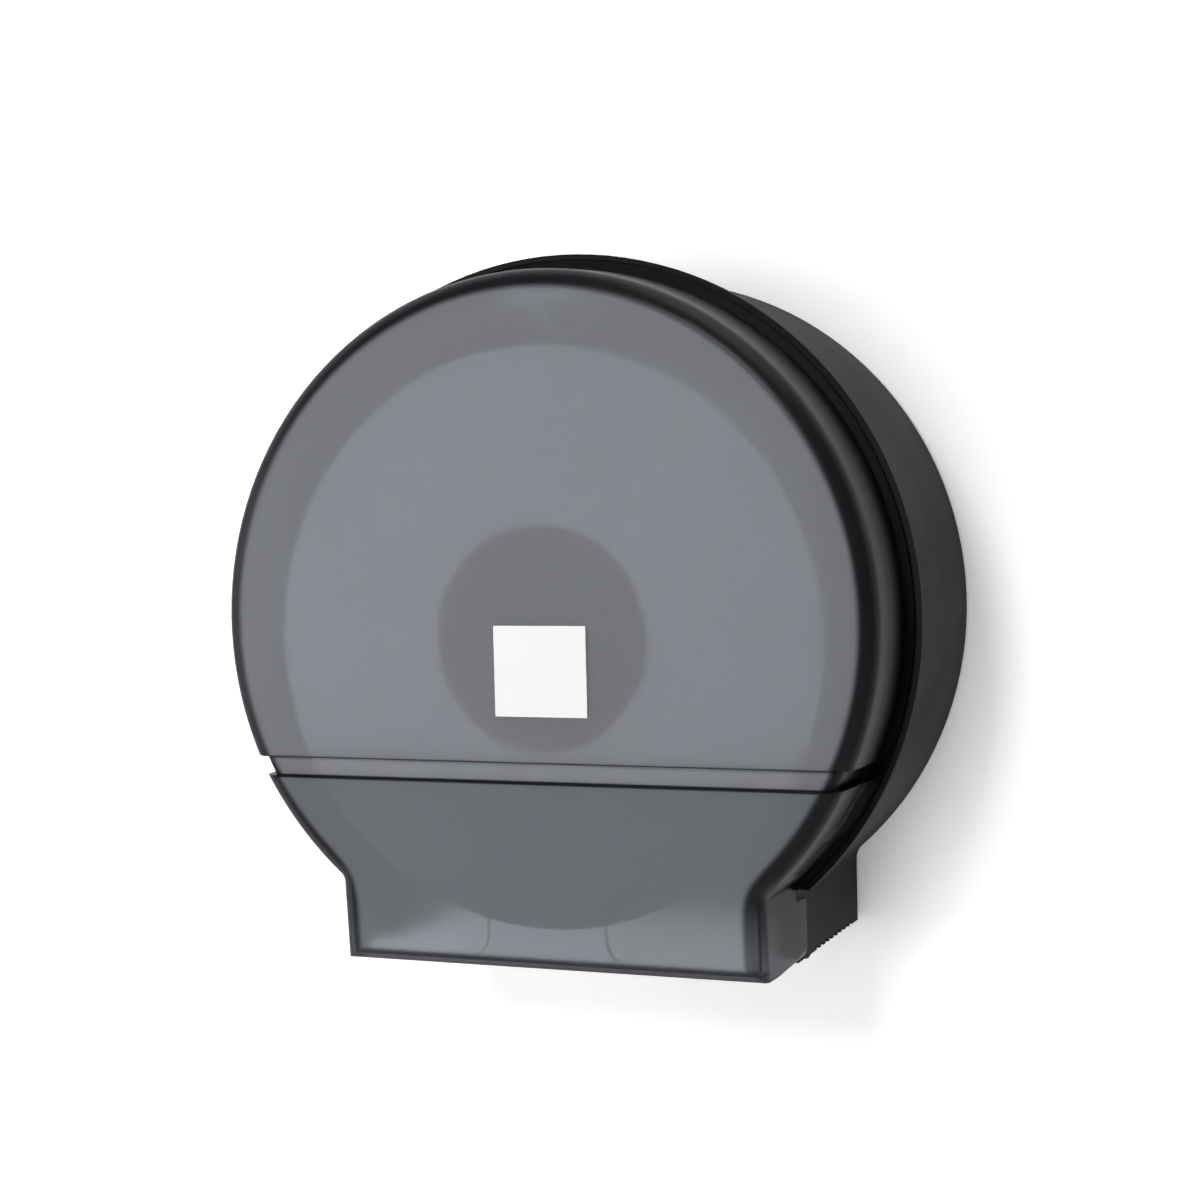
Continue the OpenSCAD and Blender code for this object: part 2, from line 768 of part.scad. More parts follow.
// Hollow corner beside the neck, up to the depth where the front starts to round
module cover_bend_side(inset, rear_d) {
    f = cover_bend_r + inset;
    from = bend_centre(flange_front_d);
    way = bend_centre(fillet_d) - from;
    run = fillet_d - flange_front_d;
    lean = -atan(way[1] / norm([way[0], run]));
    turn = atan(way[0] / run);
    intersection() {
        translate([from[0], -flange_front_d, from[1]]) rotate([lean, 0, turn])
            from_wall(rear_d - fillet_d, fillet_d) difference() {
                bend_wedge(f);
                circle(f);
            }
        block(0, rim_r, rear_d, fillet_d, -rim_r, 0);
    }
}

// The same corner in front of that: its radius grows like the mouth of a bell
module cover_bend_front(inset) {
    f = cover_bend_r + inset;
    corner = front_fillet_r - inset;
    centre = bend_centre(fillet_d);
    translate([centre[0], 0, centre[1]]) difference() {
        from_wall(fillet_d, fillet_d + corner) bend_wedge(f);
        turned() difference() {
            translate([0, fillet_d - cut]) square([f + corner, corner + 2 * cut]);
            translate([f + corner, fillet_d]) circle(corner);
        }
    }
}

// Neck of the cover as a solid that reaches up into the round part
module cover_neck(inset, rear_d, foot_z) {
    corner = front_fillet_r - inset;
    hw0 = cover_neck_out(rear_d) - inset;
    hw1 = cover_neck_out(fillet_d) - inset;
    top_z = -neck_hw;
    translate([0, 0, foot_z]) linear_extrude(top_z - foot_z) both_sides() {
        polygon([[0, -rear_d], [hw0, -rear_d], [hw1, -fillet_d], [0, -fillet_d]]);
        translate([0, inset - cover_d]) square([hw1 - corner, corner + cut]);
        translate([hw1 - corner, -fillet_d]) circle(corner);
    }
    both_sides() {
        cover_bend_side(inset, rear_d);
        cover_bend_front(inset);
    }
}

// Side view of the cover: its lower edge slopes and is rounded at the front
module cover_side_view(inset) {
    front = cover_d - inset;
    foot_z = cover_neck_z + inset;
    corner = foot_edge_r - inset;
    front_z = foot_z + foot_rise;
    along_x(-rim_r, rim_r) {
        polygon([[0, foot_z], [0, rim_r], [-front, rim_r], [-front, front_z + corner],
            [-front + corner, front_z + corner], [-front + corner, front_z]]);
        translate([-front + corner, front_z + corner]) circle(corner);
    }
}

// Lower corners of the cover's neck, seen from the front
module foot_corners() {
    both_sides() difference() {
        block(cover_neck_hw - foot_corner_r, rim_r, 0, cover_d + cut,
            cover_neck_z - cut, cover_neck_z + foot_corner_r);
        post(-cut, cover_d + 2 * cut, foot_corner_r,
            [cover_neck_hw - foot_corner_r, cover_neck_z + foot_corner_r]);
    }
}

module groove_slab(grow) {
    block(-rim_r, rim_r, flange_front_d + grow, cover_d + cut,
        groove_foot_z - grow, groove_foot_z + groove_h + grow);
}

// Outer form of the cover, groove included
module cover_outer() {
    difference() {
        intersection() {
            union() {
                cover_disc(0, flange_rear_d);
                cover_neck(0, cover_neck_rear_d, cover_neck_z - cut);
                above(rim_end_z) post(flange_rear_d, flange_front_d, flange_r);
            }
            cover_side_view(0);
        }
        difference() {
            groove_slab(0);
            cover_disc(groove_t, flange_rear_d - cut);
        }
        foot_corners();
        block(-rim_r, rim_r, 0, flange_rear_d, cover_neck_top_z, rim_r);
    }
}

// Hollow of the cover: open at the back, and open below behind the front lip
module cover_hollow() {
    difference() {
        intersection() {
            union() {
                cover_disc(cover_wall, flange_rear_d - cut);
                cover_neck(cover_wall, 0, cover_neck_z - 2 * cut);
            }
            union() {
                cover_side_view(cover_wall);
                block(-rim_r, rim_r, 0, cover_open_d, cover_neck_z - 2 * cut, 0);
            }
        }
        difference() {
            groove_slab(cover_wall);
            cover_disc(groove_t + cover_wall, flange_rear_d - 2 * cut);
        }
    }
}

// Teeth cut into the rear edge of the lip below the front face
module lip_teeth() {
    count = floor((cover_neck_out(cover_d) - front_fillet_r) / cover_tooth_pitch);
    for (i = [-count:count])
        translate([i * cover_tooth_pitch, -cover_open_d, cover_neck_z - cut])
            linear_extrude(cover_wall + foot_rise + 2 * cut)
                polygon([[-cover_tooth_pitch / 2, cut], [0, -cover_tooth_h], [cover_tooth_pitch / 2, cut]]);
}

// Two low ribs behind the face: straight down, then bending outwards
module guide_ribs() {
    rib_hw = 0.4;
    rib_out = 1.2;
    top_z = groove_foot_z - guide_drop;
    foot_z = cover_neck_z + cover_wall + guide_bend_r + 1;
    bend = [for (turn = [0:10:50]) [cos(turn), sin(turn)] * guide_bend_r];
    from_wall(cover_d - cover_wall - rib_out, cover_d - cover_wall / 2) both_sides()
        translate([guide_pitch / 2, foot_z]) polygon(concat(
            [[-rib_hw, top_z - foot_z]],
            [for (b = bend) [guide_bend_r, 0] - b * (1 + rib_hw / guide_bend_r)],
            [for (i = [len(bend) - 1:-1:0]) [guide_bend_r, 0] - bend[i] * (1 - rib_hw / guide_bend_r)],
            [[rib_hw, top_z - foot_z]]));
}

// Hinge ear inside the housing's neck, and the web that joins it to the cover's side
module cover_hinge_ear() {
    along_x(cover_ear_in, cover_ear_out) {
        translate([-hinge_d, hinge_z]) circle(ear_r);
        translate([-ear_web_d - ear_web_t, hinge_z - ear_r])
            square([ear_web_d + ear_web_t - hinge_d, 2 * ear_r]);
    }
    block(cover_ear_in, cover_neck_out(ear_web_d + ear_web_t) - cover_wall / 2,
        ear_web_d, ear_web_d + ear_web_t, ear_web_foot, ear_web_top);
}

module lock_pad() {
    intersection() {
        block(-lock_pad_hw, lock_pad_hw, lock_d - carrier_l / 2, lock_d + carrier_l / 2,
            lock_pad_z, cover_side_r);
        cover_disc(cover_wall / 2, flange_rear_d);
    }
}

module front_cover() {
    color([0.42, 0.44, 0.47, 0.75]) difference() {
        union() {
            difference() {
                cover_outer();
                cover_hollow();
            }
            guide_ribs();
            lock_pad();
            both_sides() cover_hinge_ear();
        }
        lip_teeth();
        both_sides() hinge_post(cover_ear_in - cut, cover_ear_out + cut, hinge_pin_r + running_gap);
        translate([0, -lock_d, 0]) {
            translate([0, 0, lock_pad_z - cut]) cylinder(h = cover_r(lock_d), r = barrel_r + fit_gap);
            translate([0, 0, spot_z]) cylinder(h = cover_r(lock_d), r = barrel_head_r + spot_gap);
            for (x = [-1, 1])
                translate([x * carrier_screw_x, 0, lock_pad_z - cut])
                    cylinder(h = carrier_screw_bite + 0.5 + cut, r = screw_r + fit_gap);
        }
    }
}

module label_plate() {
    color("#f7f7f7") block(label_x - label_w / 2, label_x + label_w / 2, cover_d, cover_d + label_t,
        -label_drop - label_h / 2, -label_drop + label_h / 2);
}

module lock_carrier() {
    color("#c9cccf") difference() {
        block(-carrier_hw, carrier_hw, lock_d - carrier_l / 2, lock_d + carrier_l / 2,
            carrier_z, lock_pad_z);
        translate([0, -lock_d, carrier_z - cut]) {
            cylinder(h = carrier_h + 2 * cut, r = barrel_r + fit_gap);
            for (x = [-1, 1]) translate([x * carrier_screw_x, 0, 0])
                cylinder(h = carrier_h + 2 * cut, r = screw_r + fit_gap);
        }
    }
}

module lock_carrier_screws() {
    color("#b9bbbd") for (x = [-1, 1])
        translate([x * carrier_screw_x, -lock_d, carrier_z]) rotate([180, 0, 0])
            screw(carrier_h + carrier_screw_bite, screw_r, carrier_screw_head_r, carrier_screw_head_h);
}

module lock_barrel() {
    color("#b4b6b8") translate([0, -lock_d, 0]) difference() {
        union() {
            translate([0, 0, barrel_foot_z]) cylinder(h = spot_z - barrel_foot_z, r = barrel_r);
            translate([0, 0, spot_z]) cylinder(h = barrel_head_t, r = barrel_head_r);
        }
        translate([0, 0, barrel_foot_z - cut])
            cylinder(h = lock_face_z - barrel_foot_z + 2 * cut, r = plug_r + running_gap);
    }
}

module lock_nut() {
    color("#c3c5c7") translate([0, -lock_d, nut_z]) difference() {
        rotate([0, 0, 30]) cylinder(h = nut_h, r = nut_af / 2 / cos(30), $fn = 6);
        translate([0, 0, -cut]) cylinder(h = nut_h + 2 * cut, r = barrel_r + fit_gap);
    }
}

module lock_plug() {
    color("#9ea0a3") translate([0, -lock_d, 0]) difference() {
        translate([0, 0, cam_top_z]) cylinder(h = lock_face_z - plug_sink - cam_top_z, r = plug_r);
        translate([-keyway_l / 2, -keyway_w / 2, lock_face_z - keyway_deep])
            cube([keyway_l, keyway_w, keyway_deep + cut]);
        translate([0, 0, cam_top_z - cut]) cylinder(h = cam_screw_l + 2 * cut, r = screw_r + fit_gap);
    }
}

// Flat arm at rest in its open position, pointing towards the wall
module lock_cam() {
    color("#c3c5c7") translate([0, -lock_d, cam_z]) difference() {
        union() {
            cylinder(h = cam_t, r = cam_eye_r);
            translate([-cam_w / 2, 0, 0]) cube([cam_w, cam_l, cam_t]);
        }
        translate([0, 0, -cut]) cylinder(h = cam_t + 2 * cut, r = screw_r + fit_gap);
    }
}

module cam_screw() {
    color("#b9bbbd") translate([0, -lock_d, cam_z]) rotate([180, 0, 0])
        screw(cam_t + cam_screw_l);
}

rear_housing();
spindle_base();
spindle_base_screws();
spindle_shaft();
rear_thrust_washer();
front_thrust_washer();
retaining_screw();
left_tear_strip();
right_tear_strip();
latch_strike();
strike_screws();
left_hinge_pin();
right_hinge_pin();
roll_hub();
rear_bushing();
front_bushing();
hub_cap();
roll_core();
paper_roll();
front_cover();
label_plate();
lock_carrier();
lock_carrier_screws();
lock_barrel();
lock_nut();
lock_plug();
lock_cam();
cam_screw();
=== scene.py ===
# Jumbo toilet roll dispenser: black drum housing, see-through smoke-grey cover that
# swings down, and a jumbo roll on a turning hub. Everything is in metres, in the
# part's own frame: +X right, +Y into the wall, +Z up, wall plane at Y = 0.
import math
import bmesh
import bpy
from mathutils import Matrix, Vector


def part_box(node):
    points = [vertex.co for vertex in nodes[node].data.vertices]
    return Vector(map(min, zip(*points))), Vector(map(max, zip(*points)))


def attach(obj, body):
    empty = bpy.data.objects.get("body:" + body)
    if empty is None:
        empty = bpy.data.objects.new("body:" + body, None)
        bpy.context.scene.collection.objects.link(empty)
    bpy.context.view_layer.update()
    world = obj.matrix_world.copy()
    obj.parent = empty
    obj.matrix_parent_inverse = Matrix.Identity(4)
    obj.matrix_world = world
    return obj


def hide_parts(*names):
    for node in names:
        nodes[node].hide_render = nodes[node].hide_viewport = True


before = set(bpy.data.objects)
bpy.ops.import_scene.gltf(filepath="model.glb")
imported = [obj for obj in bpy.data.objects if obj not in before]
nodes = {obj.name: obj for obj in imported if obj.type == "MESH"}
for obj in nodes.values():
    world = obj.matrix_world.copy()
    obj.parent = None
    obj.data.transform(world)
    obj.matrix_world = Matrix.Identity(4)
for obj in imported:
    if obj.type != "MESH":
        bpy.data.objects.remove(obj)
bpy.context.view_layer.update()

# ---------------------------------------------------------------------------
# The room: a camera a little to the right of the dispenser and a little above
# it, a plain pale floor well below it, and large soft lamps in front of it.
# ---------------------------------------------------------------------------
camera_data = bpy.data.cameras.new("camera")
camera_data.sensor_width = 36
camera_data.lens = 67.08
camera_data.clip_start = 0.05
camera_data.clip_end = 20
camera = bpy.data.objects.new("camera", camera_data)
bpy.context.scene.collection.objects.link(camera)
camera_place = (0.3445, -0.9227, 0.0577)
turn_deg = 21.84
down_deg = 3.27
roll_deg = -1.376
turned = (
    Matrix.Rotation(math.radians(turn_deg), 4, "Z")
    @ Matrix.Rotation(math.radians(90 - down_deg), 4, "X")
    @ Matrix.Rotation(math.radians(roll_deg), 4, "Z")
)
camera.matrix_world = Matrix.Translation(camera_place) @ turned
bpy.context.scene.camera = camera
bpy.context.scene.view_settings.view_transform = "Standard"


def linear(hex_code):
    """sRGB hex colour as the linear colour that Blender's sockets take."""
    channels = [int(hex_code[i:i + 2], 16) / 255 for i in (1, 3, 5)]
    return tuple(c / 12.92 if c <= 0.04045 else ((c + 0.055) / 1.055) ** 2.4 for c in channels) + (1,)


def add_node(tree, kind, settings=None, inputs=None):
    """Adds one shader node, with its settings and with values or links for its inputs."""
    new = tree.nodes.new(kind)
    for name, value in (settings or {}).items():
        setattr(new, name, value)
    for name, value in (inputs or {}).items():
        if isinstance(value, bpy.types.NodeSocket):
            tree.links.new(value, new.inputs[name])
        else:
            new.inputs[name].default_value = value
    return new


def soft_lamp(name, place, aim, size, watts):
    """A square soft lamp that faces a point."""
    data = bpy.data.lights.new(name, "AREA")
    data.size = size
    data.energy = watts
    lamp = bpy.data.objects.new(name, data)
    bpy.context.scene.collection.objects.link(lamp)
    lamp.location = place
    lamp.rotation_euler = (Vector(aim) - Vector(place)).to_track_quat("-Z", "Y").to_euler()
    return lamp


world = bpy.data.worlds.new("studio")
bpy.context.scene.world = world
world.use_nodes = True
world.node_tree.nodes.clear()
studio_fill = add_node(world.node_tree, "ShaderNodeBackground", None,
                       {"Color": linear("#ffffff"), "Strength": 0.11})
add_node(world.node_tree, "ShaderNodeOutputWorld", None, {"Surface": studio_fill.outputs[0]})

middle = (0, -0.06, 0)
soft_lamp("left_softbox", (-0.85, -0.7, 0.0), (0, -0.06, -0.02), 0.5, 3.8)
soft_lamp("front_softbox", (-0.1, -1.83, 0.64), middle, 0.36, 15)
soft_lamp("top_softbox", (0.45, -0.45, 1.3), middle, 0.8, 7.5)
soft_lamp("rear_softbox", (0.1, 0.75, 0.7), middle, 0.5, 4.2)


def backdrop(name, glow_share, turn, shift):
    """A large pale sheet, seen only from its front, whose glow is dimmed close to the dispenser as a
    painted contact shadow.
    """
    bm = bmesh.new()
    bmesh.ops.create_grid(bm, x_segments=1, y_segments=1, size=3)
    bmesh.ops.transform(bm, matrix=Matrix.Translation(shift) @ turn, verts=bm.verts)
    mesh = bpy.data.meshes.new(name)
    bm.to_mesh(mesh)
    bm.free()
    sheet = bpy.data.objects.new(name, mesh)
    bpy.context.scene.collection.objects.link(sheet)
    paper = bpy.data.materials.new(name + "_white_paper")
    paper.use_nodes = True
    tree = paper.node_tree
    tree.nodes.clear()
    matt = add_node(tree, "ShaderNodeBsdfDiffuse", None, {"Color": linear("#e8e8e7")})
    rays = add_node(tree, "ShaderNodeLightPath")
    seen = add_node(tree, "ShaderNodeMath", {"operation": "MAXIMUM"},
                    {0: rays.outputs["Is Glossy Ray"], 1: rays.outputs["Is Transmission Ray"]})
    seen = add_node(tree, "ShaderNodeMath", {"operation": "MAXIMUM"},
                    {0: rays.outputs["Is Camera Ray"], 1: seen.outputs[0]})
    share = add_node(tree, "ShaderNodeMath", {"operation": "MULTIPLY"},
                     {0: seen.outputs[0], 1: glow_share})
    # Painted shadow: ambient occlusion dims the glow where the dispenser stands close to the sheet.
    painted_contact_shadow = add_node(tree, "ShaderNodeAmbientOcclusion", {"samples": 4}, {"Distance": 0.035})
    share = add_node(tree, "ShaderNodeMath", {"operation": "MULTIPLY"},
                     {0: share.outputs[0], 1: painted_contact_shadow.outputs["AO"]})
    glow = add_node(tree, "ShaderNodeEmission", None,
                    {"Color": linear("#ffffff"), "Strength": share.outputs[0]})
    lit = add_node(tree, "ShaderNodeAddShader", None, {0: matt.outputs[0], 1: glow.outputs[0]})
    clear = add_node(tree, "ShaderNodeBsdfTransparent")
    behind = add_node(tree, "ShaderNodeNewGeometry").outputs["Backfacing"]
    sided = add_node(tree, "ShaderNodeMixShader", None,
                     {0: behind, 1: lit.outputs[0], 2: clear.outputs[0]})
    add_node(tree, "ShaderNodeOutputMaterial", None, {"Surface": sided.outputs[0]})
    mesh.materials.append(paper)
    return sheet


glow_share = 0.51
backdrop("floor", glow_share, Matrix.Identity(4), (0, 0, -0.50))
wall = backdrop("wall", glow_share, Matrix.Rotation(math.radians(90), 4, "X"), (0, 0.004, 2.5))
wall.visible_diffuse = False
wall.visible_shadow = False


# ---------------------------------------------------------------------------
# Rear housing: one injection moulding in black ABS, with a fine spark-eroded
# grain on its outside. Four screws through its back plate hold it to the wall.
# ---------------------------------------------------------------------------
def new_finish(name, **sockets):
    """A material with one Principled shader, set to the values given, and its object coordinates."""
    finish = bpy.data.materials.new(name)
    finish.use_nodes = True
    tree = finish.node_tree
    tree.nodes.clear()
    surface = add_node(tree, "ShaderNodeBsdfPrincipled", None,
                       {key.replace("_", " "): value for key, value in sockets.items()})
    add_node(tree, "ShaderNodeOutputMaterial", None, {"Surface": surface.outputs[0]})
    place = add_node(tree, "ShaderNodeTexCoord").outputs["Object"]
    return finish, tree, surface, place


def uneven(tree, surface, place, grain_mm, low, high, socket="Roughness"):
    """Lets a socket wander between two values with a soft noise of the given grain."""
    cloud = add_node(tree, "ShaderNodeTexNoise", None,
                     {"Vector": place, "Scale": 1000 / grain_mm, "Detail": 3.0})
    spread = add_node(tree, "ShaderNodeMapRange", None,
                      {"Value": cloud.outputs["Fac"], "From Min": 0.3, "From Max": 0.7,
                       "To Min": low, "To Max": high})
    tree.links.new(spread.outputs["Result"], surface.inputs[socket])


def grained(tree, surface, place, grain_mm, height_mm, strength=1.0):
    """Raises a fine moulded or cast grain on the surface."""
    grain = add_node(tree, "ShaderNodeTexNoise", None,
                     {"Vector": place, "Scale": 1000 / grain_mm, "Detail": 2.0})
    bump = add_node(tree, "ShaderNodeBump", None,
                    {"Height": grain.outputs["Fac"], "Distance": height_mm / 1000, "Strength": strength})
    tree.links.new(bump.outputs["Normal"], surface.inputs["Normal"])


def dress(finish, *names):
    """Gives CAD nodes their finish."""
    for name in names:
        for material_slot in nodes[name].material_slots:
            material_slot.material = finish


# Black ABS: dull, with a weak broad sheen. The real grain is about 0.2 mm, which
# is too fine to show, so it is drawn at 0.9 mm.
black_abs, tree, surface, place = new_finish(
    "spark_textured_black_abs", Base_Color=linear("#1e1e1f"), Roughness=0.6, IOR=1.5,
    Specular_IOR_Level=0.08)
uneven(tree, surface, place, 60, 0.56, 0.68)
grained(tree, surface, place, 0.9, 0.03)
dress(black_abs, "rear_housing")


# ---------------------------------------------------------------------------
# Spindle base, shaft, washers and their screws: a black nylon flange screwed to
# the back plate, with a plain steel shaft that the hub turns on.
# ---------------------------------------------------------------------------
# Glass-filled nylon: a little greyer than the housing, with a faint mottle.
black_nylon, tree, surface, place = new_finish(
    "glass_filled_black_nylon", Base_Color=linear("#252527"), Roughness=0.5, IOR=1.45)
uneven(tree, surface, place, 8, 0.42, 0.6)
grained(tree, surface, place, 1.2, 0.02)
dress(black_nylon, "spindle_base")

# Bright zinc plate on steel: clean grey metal with soft, uneven gloss.
zinc_plate, tree, surface, place = new_finish(
    "bright_zinc_plated_steel", Base_Color=linear("#c4c6c8"), Metallic=1.0, Roughness=0.32)
uneven(tree, surface, place, 3, 0.24, 0.42)
dress(zinc_plate, "spindle_shaft", "spindle_base_screws", "retaining_screw", "strike_screws",
      "left_hinge_pin", "right_hinge_pin", "lock_carrier_screws", "cam_screw", "lock_nut")

# Natural acetal: waxy off-white, slightly see-through at thin edges.
acetal, tree, surface, place = new_finish(
    "natural_acetal", Base_Color=linear("#e4e0d4"), Roughness=0.38, IOR=1.48,
    Subsurface_Weight=0.15, Subsurface_Scale=0.002)
uneven(tree, surface, place, 5, 0.32, 0.45)
dress(acetal, "rear_thrust_washer", "front_thrust_washer", "rear_bushing", "front_bushing")


# ---------------------------------------------------------------------------
# Tear strips: thin toothed steel strips, painted black and held by two moulded
# stakes on each side of the neck, where the paper is torn off sideways.
# ---------------------------------------------------------------------------
# Black paint on sprung steel: smooth and thin, a little glossier than the housing.
strip_paint, tree, surface, place = new_finish(
    "black_painted_spring_steel", Base_Color=linear("#141415"), Roughness=0.36, IOR=1.5)
uneven(tree, surface, place, 4, 0.3, 0.46)
dress(strip_paint, "left_tear_strip", "right_tear_strip")


# ---------------------------------------------------------------------------
# Hub: a black moulded drum with spokes and a pressed-in front cap. It carries
# the roll's core and turns on two bushings.
# ---------------------------------------------------------------------------
# Smooth black polypropylene: a touch glossier than the housing.
black_pp, tree, surface, place = new_finish(
    "smooth_black_polypropylene", Base_Color=linear("#232326"), Roughness=0.42, IOR=1.49)
uneven(tree, surface, place, 25, 0.36, 0.5)
grained(tree, surface, place, 2.5, 0.02, 0.5)
dress(black_pp, "roll_hub", "hub_cap")


# ---------------------------------------------------------------------------
# Paper roll on its core: soft embossed tissue wound on a wound kraft tube. Its
# ends show the edges of the layers, and the tube shows as a brown rim.
# ---------------------------------------------------------------------------
roll_low, roll_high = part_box("paper_roll")
core_low, core_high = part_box("roll_core")
roll_z = (roll_low.z + roll_high.z) / 2
roll_r = (roll_high.x - roll_low.x) / 2
core_out = (core_high.x - core_low.x) / 2
core_in = core_out - 0.002


def lathe(bm, outline, axis_z, steps):
    """Spins a closed outline of (radius, depth) points into a ring round a level axis."""
    corners = [bm.verts.new((0, -depth, axis_z + radius)) for radius, depth in outline]
    sides = [bm.edges.new((corners[i - 1], corners[i])) for i in range(len(corners))]
    bmesh.ops.spin(bm, geom=corners + sides, cent=(0, 0, axis_z), axis=(0, 1, 0), dvec=(0, 0, 0),
                   angle=2 * math.pi, steps=steps, use_merge=True)
    bmesh.ops.remove_doubles(bm, verts=bm.verts, dist=1e-6)


def make_piece(name, bm, finish, sharp_deg=35):
    """Turns a bmesh into a smooth-shaded object whose edges over an angle stay sharp."""
    bmesh.ops.recalc_face_normals(bm, faces=bm.faces)
    mesh = bpy.data.meshes.new(name)
    bm.to_mesh(mesh)
    bm.free()
    mesh.shade_smooth()
    mesh.set_sharp_from_angle(angle=math.radians(sharp_deg))
    mesh.materials.append(finish)
    piece = bpy.data.objects.new(name, mesh)
    bpy.context.scene.collection.objects.link(piece)
    return piece


def belongs(piece, body, slot, *replaced):
    """Rides the piece on its body and hides the CAD nodes that it stands for; its slot is not used."""
    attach(piece, body)
    if replaced:
        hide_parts(*replaced)


# Tissue: bright, very matt and a little translucent. Layers are 0.1 mm apart, too
# fine to show, so the ends have rings about 1.4 mm apart and shallow steps.
tissue, tree, surface, place = new_finish(
    "embossed_white_tissue", Base_Color=linear("#f3f1ec"), Roughness=0.95, IOR=1.3,
    Subsurface_Weight=0.1, Subsurface_Scale=0.003)
centred = add_node(tree, "ShaderNodeMapping", None, {"Vector": place, "Location": (0, 0, -roll_z)})
split = add_node(tree, "ShaderNodeSeparateXYZ", None, {"Vector": centred.outputs[0]})
flat_place = add_node(tree, "ShaderNodeCombineXYZ", None,
                      {"X": split.outputs["X"], "Z": split.outputs["Z"]})
from_axis = add_node(tree, "ShaderNodeVectorMath", {"operation": "LENGTH"}, {0: flat_place.outputs[0]})
radius_place = add_node(tree, "ShaderNodeCombineXYZ", None, {"X": from_axis.outputs["Value"]})
layers = add_node(tree, "ShaderNodeTexNoise", None,
                  {"Vector": radius_place.outputs[0], "Scale": 700.0, "Detail": 3.0})
fibres = add_node(tree, "ShaderNodeTexNoise", None, {"Vector": place, "Scale": 900.0, "Detail": 3.0})
relief = add_node(tree, "ShaderNodeMath", {"operation": "ADD"},
                  {0: layers.outputs["Fac"], 1: fibres.outputs["Fac"]})
paper_bump = add_node(tree, "ShaderNodeBump", None,
                      {"Height": relief.outputs[0], "Distance": 0.0003, "Strength": 0.7})
tree.links.new(paper_bump.outputs["Normal"], surface.inputs["Normal"])
tint = add_node(tree, "ShaderNodeMapRange", None,
                {"Value": layers.outputs["Fac"], "From Min": 0.3, "From Max": 0.7})
shade = add_node(tree, "ShaderNodeMix", {"data_type": "RGBA"},
                 {"Factor": tint.outputs[0], "A": linear("#ebe8e2"), "B": linear("#f7f5f1")})
tree.links.new(shade.outputs["Result"], surface.inputs["Base Color"])

rear_d = -roll_high.y
front_d = -roll_low.y
inner = core_out + 0.00005
soft_edge = 0.0012
cut_back = soft_edge * 0.3
bm = bmesh.new()
lathe(bm, [(inner, rear_d), (roll_r - soft_edge, rear_d), (roll_r - cut_back, rear_d + cut_back),
           (roll_r, rear_d + soft_edge), (roll_r, front_d - soft_edge),
           (roll_r - cut_back, front_d - cut_back), (roll_r - soft_edge, front_d),
           (inner, front_d)], roll_z, 160)
belongs(make_piece("tissue_roll", bm, tissue), "roll", "tissue", "paper_roll")

# Kraft board: brown, dry and flecked with darker fibres.
kraft, tree, surface, place = new_finish(
    "spiral_wound_kraft_board", Base_Color=linear("#9a7c58"), Roughness=0.85)
flecks = add_node(tree, "ShaderNodeTexNoise", None, {"Vector": place, "Scale": 600.0, "Detail": 4.0})
board_tint = add_node(tree, "ShaderNodeMix", {"data_type": "RGBA"},
                      {"Factor": flecks.outputs["Fac"], "A": linear("#8a6c4a"), "B": linear("#ad8f69")})
tree.links.new(board_tint.outputs["Result"], surface.inputs["Base Color"])
grained(tree, surface, place, 1.5, 0.05)
bm = bmesh.new()
lathe(bm, [(core_in, -core_high.y), (core_out, -core_high.y), (core_out, -core_low.y),
           (core_in, -core_low.y)], roll_z, 120)
belongs(make_piece("kraft_core", bm, kraft), "roll", "core_board", "roll_core")


# ---------------------------------------------------------------------------
# Cover: one moulding in smoke-grey see-through plastic, 2 mm thick. Its flat front
# and the groove's floor are frosted, while rounded edges, sides and steps are clear.
# ---------------------------------------------------------------------------
# The groove's upper and lower edge, the edges of the flat front on the disc, on
# the neck and above the lip, and the depth that the frosting starts at.
GROOVE_HEAD_Z = -0.05425
GROOVE_FOOT_Z = -0.06215
FACE_R = 0.1290
NECK_FACE_X = 0.0812
LIP_Z = -0.1319
FROST_Y = -0.120

# Polished clear smoke grey: it looks almost black at the edges, where it is seen
# along its thickness. Frosted: a soft, bluish grey haze, with painted shade below the groove.
smoke, tree, clear, place = new_finish(
    "smoke_grey_polycarbonate_frosted_face", Base_Color=linear("#2c2d33"), Roughness=0.34, IOR=1.2,
    Specular_IOR_Level=0.13, Transmission_Weight=0.9)
frosted = add_node(tree, "ShaderNodeBsdfPrincipled", None,
                   {"Roughness": 0.4, "IOR": 1.2, "Specular IOR Level": 0.3})
spot = add_node(tree, "ShaderNodeSeparateXYZ", None, {"Vector": place})
x = spot.outputs["X"]
y = spot.outputs["Y"]
z = spot.outputs["Z"]

# How far inside the flat front's edge a point lies. The disc and the neck meet in
# a rounded corner.
level = add_node(tree, "ShaderNodeCombineXYZ", None, {"X": x, "Z": z})
from_middle = add_node(tree, "ShaderNodeVectorMath", {"operation": "LENGTH"}, {0: level.outputs[0]})
in_disc = add_node(tree, "ShaderNodeMath", {"operation": "SUBTRACT"},
                   {0: FACE_R, 1: from_middle.outputs["Value"]})
across = add_node(tree, "ShaderNodeMath", {"operation": "ABSOLUTE"}, {0: x})
in_neck = add_node(tree, "ShaderNodeMath", {"operation": "SUBTRACT"},
                   {0: NECK_FACE_X, 1: across.outputs[0]})
under_groove = add_node(tree, "ShaderNodeMath", {"operation": "SUBTRACT"}, {0: GROOVE_FOOT_Z, 1: z})
in_neck = add_node(tree, "ShaderNodeMath", {"operation": "MINIMUM"},
                   {0: in_neck.outputs[0], 1: under_groove.outputs[0]})
corner_blend = 0.014
inside = add_node(tree, "ShaderNodeMath", {"operation": "SMOOTH_MAX"},
                  {0: in_disc.outputs[0], 1: in_neck.outputs[0], 2: corner_blend})
above_lip = add_node(tree, "ShaderNodeMath", {"operation": "SUBTRACT"}, {0: z, 1: LIP_Z})
